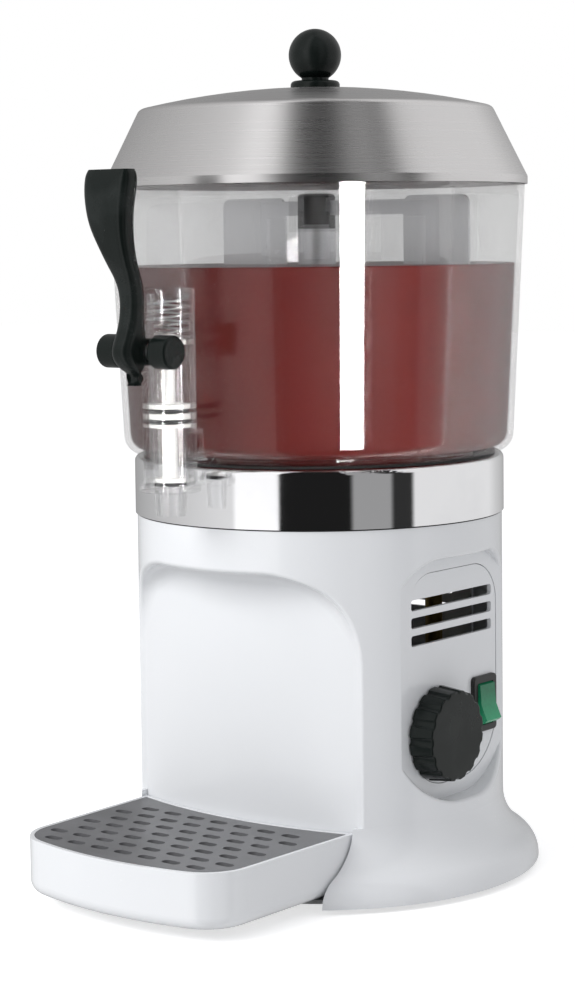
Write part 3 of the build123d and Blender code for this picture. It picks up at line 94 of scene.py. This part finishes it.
class Finish:
    def __init__(self, name, tree=None):
        if tree is None:
            self.material = bpy.data.materials.new(name)
            self.material.use_nodes = True
            tree = self.material.node_tree
        self.tree = tree
        self.tree.nodes.clear()

    def node(self, kind, settings=None, sockets=None, out=0):
        made = self.tree.nodes.new(kind)
        for key, value in (settings or {}).items():
            if key == "stops":
                self.setStops(made.color_ramp, value)
            else:
                setattr(made, key, value)
        for key, value in (sockets or {}).items():
            if isinstance(value, Wire):
                self.tree.links.new(value.socket, made.inputs[key])
            else:
                made.inputs[key].default_value = value
        return Wire(self, made.outputs[out]) if made.outputs else made

    def setStops(self, ramp, stops):
        while len(ramp.elements) < len(stops):
            ramp.elements.new(1.0)
        for element, (place, colour) in zip(ramp.elements, stops):
            element.position = place
            element.color = (*colour, 1.0)

    def place(self):
        return self.node("ShaderNodeTexCoord", out=objectSocket)

    def height(self):
        return self.node("ShaderNodeSeparateXYZ", {}, {"Vector": self.place()}, out=2)

    def stretched(self, scale):
        return self.node("ShaderNodeMapping", {}, {"Vector": self.place(), "Scale": scale})

    def noise(self, scale, detail=3.0, roughness=0.5, vector=None):
        return self.node("ShaderNodeTexNoise", {}, {"Vector": vector or self.place(), "Scale": scale,
                                                    "Detail": detail, "Roughness": roughness})

    def clip(self, value, low, high, outLow, outHigh):
        return self.node("ShaderNodeMapRange", {}, {"Value": value, "From Min": low, "From Max": high,
                                                    "To Min": outLow, "To Max": outHigh})

    def blendColour(self, factor, first, second):
        mixed = dict(zip(mixSockets, (factor, first, second)))
        return self.node("ShaderNodeMix", {"data_type": "RGBA"}, mixed, out=2)

    def bump(self, height, distance):
        return self.node("ShaderNodeBump", {}, {"Height": height, "Distance": distance})

    def shader(self, **sockets):
        named = {socketNames[key]: value for key, value in sockets.items()}
        body = self.node("ShaderNodeBsdfPrincipled", {}, named)
        self.node("ShaderNodeOutputMaterial", {}, {"Surface": body})
        return self.material


socketNames = {"colour": "Base Color", "metallic": "Metallic", "roughness": "Roughness", "normal": "Normal",
               "coat": "Coat Weight", "coatRoughness": "Coat Roughness",
               "transmission": "Transmission Weight", "ior": "IOR", "emission": "Emission Color",
               "glow": "Emission Strength", "alpha": "Alpha", "specular": "Specular IOR Level"}


def colour(r, g, b):
    return (r, g, b, 1.0)


# ---- finishes, one for each material slot of the record
mouldedWhite = {"base": colour(0.850, 0.866, 0.885), "shade": colour(0.820, 0.836, 0.858),
                "cloudSize": 9.0, "cloudShare": 0.8, "rippleSize": 160.0, "rippleDepth": 0.00003,
                "dustSize": 900.0, "dustFrom": 0.62, "dustTo": 0.80, "dustShare": 0.2,
                "roughness": 0.17, "cloudRoughness": 0.06, "dustRoughness": 0.12,
                "coat": 0.35, "coatRoughness": 0.06}


def makeMouldedWhite(look):
    finish = Finish("mouldedWhite")
    cloud = finish.noise(look["cloudSize"], 2.0)
    ripple = finish.noise(look["rippleSize"], 2.0)
    dust = finish.clip(finish.noise(look["dustSize"], 2.0), look["dustFrom"], look["dustTo"], 0.0, 1.0)
    tone = finish.clip(cloud, 0.3, 0.7, 0, 1) * look["cloudShare"] + dust * look["dustShare"]
    dullness = cloud * look["cloudRoughness"] + dust * look["dustRoughness"]
    return finish.shader(colour=finish.blendColour(tone, look["base"], look["shade"]),
                         roughness=look["roughness"] + dullness,
                         normal=finish.bump(ripple, look["rippleDepth"]),
                         coat=look["coat"], coatRoughness=look["coatRoughness"])


mirrorBand = {"base": colour(0.90, 0.90, 0.915), "worn": colour(0.80, 0.80, 0.82), "roughness": 0.035,
              "rolledSize": 30.0, "rolledRoughness": 0.03, "rolledDepth": 0.00002,
              "smearSize": 14.0, "smearFrom": 0.5, "smearTo": 0.75, "smearRoughness": 0.05}


def makeMirrorBand(look):
    finish = Finish("mirrorBand")
    rolled = finish.noise(look["rolledSize"], 3.0, 0.5, finish.stretched((1.0, 1.0, 40.0)))
    smear = finish.clip(finish.noise(look["smearSize"], 4.0), look["smearFrom"], look["smearTo"], 0.0, 1.0)
    dullness = rolled * look["rolledRoughness"] + smear * look["smearRoughness"]
    return finish.shader(colour=finish.blendColour(smear, look["base"], look["worn"]), metallic=1.0,
                         roughness=look["roughness"] + dullness,
                         normal=finish.bump(rolled, look["rolledDepth"]))


spunLid = {"base": colour(0.80, 0.785, 0.785), "dark": colour(0.62, 0.61, 0.61), "roughness": 0.20,
           "ringSize": 900.0, "ringShare": 0.35, "ringRoughness": 0.10, "ringDepth": 0.00003,
           "smearSize": 12.0, "smearShare": 0.35, "smearRoughness": 0.06}


def makeSpunLid(look):
    finish = Finish("spunLid")
    along = finish.node("ShaderNodeCombineXYZ", {}, {"Z": finish.height()})
    rings = finish.noise(look["ringSize"], 2.0, 0.5, along)
    smear = finish.noise(look["smearSize"], 4.0, 0.6)
    tone = rings * look["ringShare"] + smear * look["smearShare"]
    dullness = rings * look["ringRoughness"] + smear * look["smearRoughness"]
    return finish.shader(colour=finish.blendColour(tone, look["base"], look["dark"]), metallic=1.0,
                         roughness=look["roughness"] + dullness,
                         normal=finish.bump(rings, look["ringDepth"]))


satinSteel = {"base": colour(0.62, 0.62, 0.63), "dark": colour(0.50, 0.50, 0.52), "roughness": 0.24,
              "drawnSize": 700.0, "drawnShare": 0.6, "drawnRoughness": 0.12, "drawnDepth": 0.00003,
              "smearSize": 25.0, "smearShare": 0.3}


def makeSatinSteel(look):
    finish = Finish("satinSteel")
    drawn = finish.noise(look["drawnSize"], 3.0, 0.6, finish.stretched((1.0, 1.0, 0.04)))
    smear = finish.noise(look["smearSize"], 3.0)
    tone = drawn * look["drawnShare"] + smear * look["smearShare"]
    return finish.shader(colour=finish.blendColour(tone, look["base"], look["dark"]), metallic=1.0,
                         roughness=look["roughness"] + drawn * look["drawnRoughness"],
                         normal=finish.bump(drawn, look["drawnDepth"]))


clearPlastic = {"base": colour(0.985, 0.99, 0.995), "haze": colour(0.95, 0.96, 0.97), "roughness": 0.008,
                "hazeSize": 20.0, "hazeFrom": 0.45, "hazeTo": 0.8, "hazeRoughness": 0.02, "ior": 1.49,
                "alpha": 0.30}


def makeClearPlastic(look):
    finish = Finish("clearPlastic")
    haze = finish.clip(finish.noise(look["hazeSize"], 4.0), look["hazeFrom"], look["hazeTo"], 0.0, 1.0)
    return finish.shader(colour=finish.blendColour(haze, look["base"], look["haze"]),
                         roughness=look["roughness"] + haze * look["hazeRoughness"],
                         transmission=1.0, ior=look["ior"], alpha=look["alpha"])


blackGloss = {"base": colour(0.006, 0.009, 0.008), "worn": colour(0.020, 0.024, 0.023), "roughness": 0.20,
              "rubbedSize": 40.0, "rubbedFrom": 0.45, "rubbedTo": 0.75, "rubbedRoughness": 0.12,
              "grainSize": 1500.0, "grainRoughness": 0.05, "grainDepth": 0.00002, "specular": 0.22}


def makeBlackGloss(look):
    finish = Finish("blackGloss")
    wear = finish.noise(look["rubbedSize"], 4.0)
    rubbed = finish.clip(wear, look["rubbedFrom"], look["rubbedTo"], 0.0, 1.0)
    grain = finish.noise(look["grainSize"], 2.0)
    dullness = rubbed * look["rubbedRoughness"] + grain * look["grainRoughness"]
    return finish.shader(colour=finish.blendColour(rubbed, look["base"], look["worn"]),
                         roughness=look["roughness"] + dullness,
                         normal=finish.bump(grain, look["grainDepth"]), specular=look["specular"])


grained = {"patchSize": 35.0, "patchFrom": 0.35, "patchTo": 0.7, "patchShare": 0.6, "grainShare": 0.4,
           "grainRoughness": 0.10, "patchRoughness": 0.05}


def makeGrained(name, base, worn, roughness, grainSize=1400.0, grainDepth=0.00004, metallic=0.0):
    finish = Finish(name)
    grain = finish.noise(grainSize, 3.0, 0.6)
    wear = finish.noise(grained["patchSize"], 3.0)
    patch = finish.clip(wear, grained["patchFrom"], grained["patchTo"], 0.0, 1.0)
    tone = patch * grained["patchShare"] + grain * grained["grainShare"]
    dullness = grain * grained["grainRoughness"] + patch * grained["patchRoughness"]
    return finish.shader(colour=finish.blendColour(tone, base, worn), metallic=metallic,
                         roughness=roughness + dullness, normal=finish.bump(grain, grainDepth))


litGreen = {"base": colour(0.004, 0.075, 0.035), "bright": colour(0.02, 0.30, 0.14), "glow": 0.35,
            "litFrom": 0.080, "litTo": 0.100, "litShare": 0.7, "cellSize": 500.0, "cellShare": 0.3,
            "roughness": 0.16, "cellRoughness": 0.08}


def makeLitGreen(look):
    finish = Finish("litGreen")
    middle = finish.clip(finish.height(), look["litFrom"], look["litTo"], 0.0, 1.0)
    cells = finish.noise(look["cellSize"], 2.0)
    tone = middle * look["litShare"] + cells * look["cellShare"]
    lit = finish.blendColour(tone, look["bright"], look["base"])
    return finish.shader(colour=lit, roughness=look["roughness"] + cells * look["cellRoughness"],
                         emission=lit, glow=look["glow"])


finishes = {
    "white_housing": makeMouldedWhite(mouldedWhite),
    "bright_band": makeMirrorBand(mirrorBand),
    "lid_steel": makeSpunLid(spunLid),
    "tank_steel": makeSatinSteel(satinSteel),
    "clear_plastic": makeClearPlastic(clearPlastic),
    "black_gloss": makeBlackGloss(blackGloss),
    "black_plastic": makeGrained("blackPlastic", colour(0.012, 0.012, 0.012), colour(0.03, 0.03, 0.03), 0.38),
    "grid_plastic": makeGrained("gridPlastic", colour(0.125, 0.127, 0.132), colour(0.19, 0.19, 0.20), 0.34),
    "white_plastic": makeGrained("whitePlastic", colour(0.74, 0.73, 0.71), colour(0.66, 0.65, 0.62), 0.35),
    "rubber": makeGrained("rubberGrain", colour(0.014, 0.014, 0.014), colour(0.030, 0.030, 0.030), 0.6),
    "zinc_plate": makeGrained("zincPlate", colour(0.52, 0.53, 0.54), colour(0.42, 0.43, 0.44), 0.36, 500.0,
                              0.00002, 1.0),
    "screw_steel": makeGrained("screwSteel", colour(0.58, 0.58, 0.58), colour(0.44, 0.44, 0.44), 0.28, 900.0,
                               0.00001, 1.0),
    "heater_aluminium": makeGrained("castAluminium", colour(0.62, 0.62, 0.61), colour(0.50, 0.50, 0.49), 0.45,
                                    600.0, 0.00006, 1.0),
    "element_steel": makeGrained("elementSteel", colour(0.22, 0.20, 0.18), colour(0.13, 0.11, 0.10), 0.42,
                                 500.0, 0.00003, 1.0),
    "brass": makeGrained("turnedBrass", colour(0.62, 0.44, 0.17), colour(0.46, 0.31, 0.11), 0.30, 800.0,
                         0.00001, 1.0),
    "gear_case": makeGrained("gearCase", colour(0.46, 0.46, 0.47), colour(0.36, 0.36, 0.37), 0.48, 700.0,
                             0.00006, 1.0),
    "motor_paint": makeGrained("motorPaint", colour(0.035, 0.038, 0.045), colour(0.07, 0.07, 0.08), 0.40),
    "lit_green": makeLitGreen(litGreen),
}
for subpart in frame["record"]["subparts"]:
    piece = nodes[subpart["node"]]
    if not piece.material_slots:
        piece.data.materials.append(None)
    for slot in piece.material_slots:
        slot.material = finishes[subpart["material_slot"]]


# ---- modelling helpers
def clearSelection():
    if bpy.context.object and bpy.context.object.mode != "OBJECT":
        bpy.ops.object.mode_set(mode="OBJECT")
    bpy.ops.object.select_all(action="DESELECT")


sharpAngle = 35.0           # edges steeper than this many degrees stay sharp
mergeDistance = 0.000005


def turnedPiece(name, rings, sides):
    clearSelection()
    radius, height = rings[0]
    bpy.ops.mesh.primitive_circle_add(vertices=sides, radius=radius, fill_type="NOTHING",
                                      location=(0, 0, height))
    piece = bpy.context.object
    piece.name = name
    bpy.ops.object.mode_set(mode="EDIT")
    bpy.ops.mesh.select_all(action="SELECT")
    for nextRadius, nextHeight in rings[1:]:
        bpy.ops.mesh.extrude_region_move(TRANSFORM_OT_translate={"value": (0, 0, nextHeight - height)})
        grow = nextRadius / radius
        bpy.ops.transform.resize(value=(grow, grow, 1), center_override=(0, 0, 0))
        radius, height = nextRadius, nextHeight
    bpy.ops.mesh.select_all(action="SELECT")
    bpy.ops.mesh.remove_doubles(threshold=mergeDistance)
    bpy.ops.mesh.normals_make_consistent(inside=False)
    bpy.ops.object.mode_set(mode="OBJECT")
    bpy.ops.object.transform_apply(location=True, rotation=True, scale=True)
    bpy.ops.object.shade_smooth_by_angle(angle=radians(sharpAngle))
    return piece


def giveFinish(piece, material, body):
    piece.data.materials.clear()
    piece.data.materials.append(material)
    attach(piece, body)


# ---- the product in the bowl: it follows the inner wall of the bowl and of its well
sauce = {"deep": colour(0.046, 0.0050, 0.0042), "pale": colour(0.070, 0.0090, 0.0075),
         "swirlSize": 9.0, "swirlFrom": 0.35, "swirlTo": 0.65, "fineSize": 260.0, "fineDepth": 0.00002,
         "roughness": 0.30, "fineRoughness": 0.08, "specular": 0.2,
         "coreRadius": 0.0110, "bottom": 0.1952, "wellCorner": [(0.0815, 0.1952), (0.0845, 0.1965)],
         "wellRadius": 0.0865, "wellWallFoot": 0.2005, "wellTop": 0.2335,
         "bowlCorner": [(0.1015, 0.2344), (0.1040, 0.2368), (0.1052, 0.2404)], "shelfRadius": 0.0980,
         "level": 0.334, "levelRadius": 0.1098, "levelRounding": (0.0004, 0.0006), "innerLevelRadius": 0.0400,
         "gap": 0.0005, "sides": 160}


def makeSauceFinish(look):
    finish = Finish("sauce")
    swirl = finish.noise(look["swirlSize"], 3.0, 0.5, finish.stretched((1.0, 1.0, 0.25)))
    tone = finish.clip(swirl, look["swirlFrom"], look["swirlTo"], 0.0, 1.0)
    fine = finish.noise(look["fineSize"], 2.0)
    return finish.shader(colour=finish.blendColour(tone, look["deep"], look["pale"]),
                         roughness=look["roughness"] + fine * look["fineRoughness"],
                         normal=finish.bump(fine, look["fineDepth"]), specular=look["specular"])


def makeSauce(look):
    gap, level = look["gap"], look["level"]
    across, down = look["levelRounding"]
    well = look["wellRadius"]
    wall = [*look["wellCorner"], (well, look["wellWallFoot"]), (well, look["wellTop"]),
            (look["shelfRadius"], look["wellTop"] + gap), *look["bowlCorner"],
            (look["levelRadius"], level - down), (look["levelRadius"] - across, level)]
    core = look["coreRadius"]
    rings = [(core, look["bottom"]), *[(radius - gap, height) for radius, height in wall],
             (look["innerLevelRadius"], level), (core, level), (core, look["bottom"])]
    giveFinish(turnedPiece("product", rings, look["sides"]), makeSauceFinish(look), "bowl")


makeSauce(sauce)
print("product made")


# ---- floor, world and lamps
studio = {"floorSize": 12.0, "floor": colour(0.86, 0.86, 0.86), "mottle": colour(0.84, 0.84, 0.84),
          "mottleSize": 3.0, "mottleShare": 0.1, "lift": 0.54, "worldLevel": 0.60, "worldBlue": 1.02}
white = colour(1, 1, 1)


def rayKinds(finish, *kinds):
    outputs = finish.node("ShaderNodeLightPath").socket.node.outputs
    return [Wire(finish, outputs[f"Is {kind} Ray"]) for kind in kinds]


def makeFloor(look):
    clearSelection()
    bpy.ops.mesh.primitive_plane_add(size=look["floorSize"], location=(0, 0, 0))
    floor = bpy.context.object
    floor.name = "studioFloor"
    finish = Finish("studioFloor")
    isCamera, isGlossy = rayKinds(finish, "Camera", "Glossy")
    mottle = finish.noise(look["mottleSize"], 2.0) * look["mottleShare"]
    base = finish.node("ShaderNodeBsdfDiffuse", {},
                       {"Color": finish.blendColour(mottle, look["floor"], look["mottle"])})
    lift = finish.node("ShaderNodeEmission", {}, {"Color": white, "Strength": isCamera * look["lift"]})
    lifted = finish.node("ShaderNodeAddShader", {}, {0: base, 1: lift})
    clear = finish.node("ShaderNodeBsdfTransparent")
    surface = finish.node("ShaderNodeMixShader", {}, {0: isGlossy, 1: lifted, 2: clear})
    finish.node("ShaderNodeOutputMaterial", {}, {"Surface": surface})
    floor.data.materials.append(finish.material)


# What polished metal shows of the room, once round: share of the turn and level.
reflectedRoom = [(0.00, 0.62), (0.105, 0.30), (0.30, 0.55), (0.455, 0.78), (0.460, 1.15), (0.535, 1.15),
                 (0.538, 0.012), (0.659, 0.012), (0.662, 0.33), (0.728, 0.33), (0.732, 0.03), (0.768, 0.03),
                 (0.772, 0.80), (0.965, 0.80), (1.00, 0.62)]


def makeWorld(look, bands):
    world = bpy.data.worlds.new("studioWorld")
    bpy.context.scene.world = world
    world.use_nodes = True
    sky = Finish("studioWorld", world.node_tree)
    isCamera, isGlossy, isThrough = rayKinds(sky, "Camera", "Glossy", "Transmission")
    direction = sky.node("ShaderNodeTexCoord", out=generatedSocket)
    apart = sky.node("ShaderNodeSeparateXYZ", {}, {"Vector": direction}).socket.node
    x, y = Wire(sky, apart.outputs[0]), Wire(sky, apart.outputs[1])
    turn = sky.node("ShaderNodeMath", {"operation": "ARCTAN2"}, {0: x, 1: 0 - y}) / (2 * pi) + 0.5
    ramp = sky.node("ShaderNodeValToRGB", {"stops": [(place, (level,) * 3) for place, level in bands]},
                    {"Fac": turn})
    level = look["worldLevel"]
    plain = sky.blendColour(isCamera + isThrough, colour(level, level, level * look["worldBlue"]), white)
    seen = sky.blendColour(isGlossy, plain, ramp)
    sky.node("ShaderNodeOutputWorld", {}, {"Surface": sky.node("ShaderNodeBackground", {}, {"Color": seen})})


# A key lamp for the whole object, and strips that only put a highlight on the clear pieces named.
keyLamp = {"azimuth": -18, "distance": 1.6, "height": 1.15, "aim": 0.22, "width": 1.1, "tall": 0.9,
           "power": 19.0}
strip = {"distance": 0.95, "height": 0.32, "aim": 0.32, "tall": 0.60}
bowlStrip = {**strip, "azimuth": 56, "width": 0.21, "power": 44.0}
tapStripFront = {**strip, "azimuth": 12, "width": 0.10, "power": 24.0}
tapStripSide = {**tapStripFront, "azimuth": 86}


def addLamp(name, setup, highlightOn=()):
    azimuth = radians(setup["azimuth"])
    place = Vector((setup["distance"] * sin(azimuth), -setup["distance"] * cos(azimuth), setup["height"]))
    bpy.ops.object.light_add(type="AREA", location=place)
    lamp = bpy.context.object
    lamp.name = name
    lamp.data.shape = "RECTANGLE"
    lamp.data.size, lamp.data.size_y, lamp.data.energy = setup["width"], setup["tall"], setup["power"]
    lamp.rotation_euler = (Vector((0, 0, setup["aim"])) - place).to_track_quat("-Z", "Y").to_euler()
    lamp.visible_camera = False
    lamp.visible_transmission = False
    lamp.visible_glossy = bool(highlightOn)
    lamp.visible_diffuse = not highlightOn
    if highlightOn:
        lit = bpy.data.collections.new(name + "Targets")
        for target in highlightOn:
            lit.objects.link(nodes[target])
        lamp.light_linking.receiver_collection = lit


makeFloor(studio)
makeWorld(studio, reflectedRoom)
addLamp("keyLamp", keyLamp)
addLamp("bowlStrip", bowlStrip, ["bowl"])
addLamp("tapStripFront", tapStripFront, ["tap_tube", "tap_cap"])
addLamp("tapStripSide", tapStripSide, ["tap_tube", "tap_cap"])
print("studio lit")

bpy.context.scene.view_settings.view_transform = "Standard"
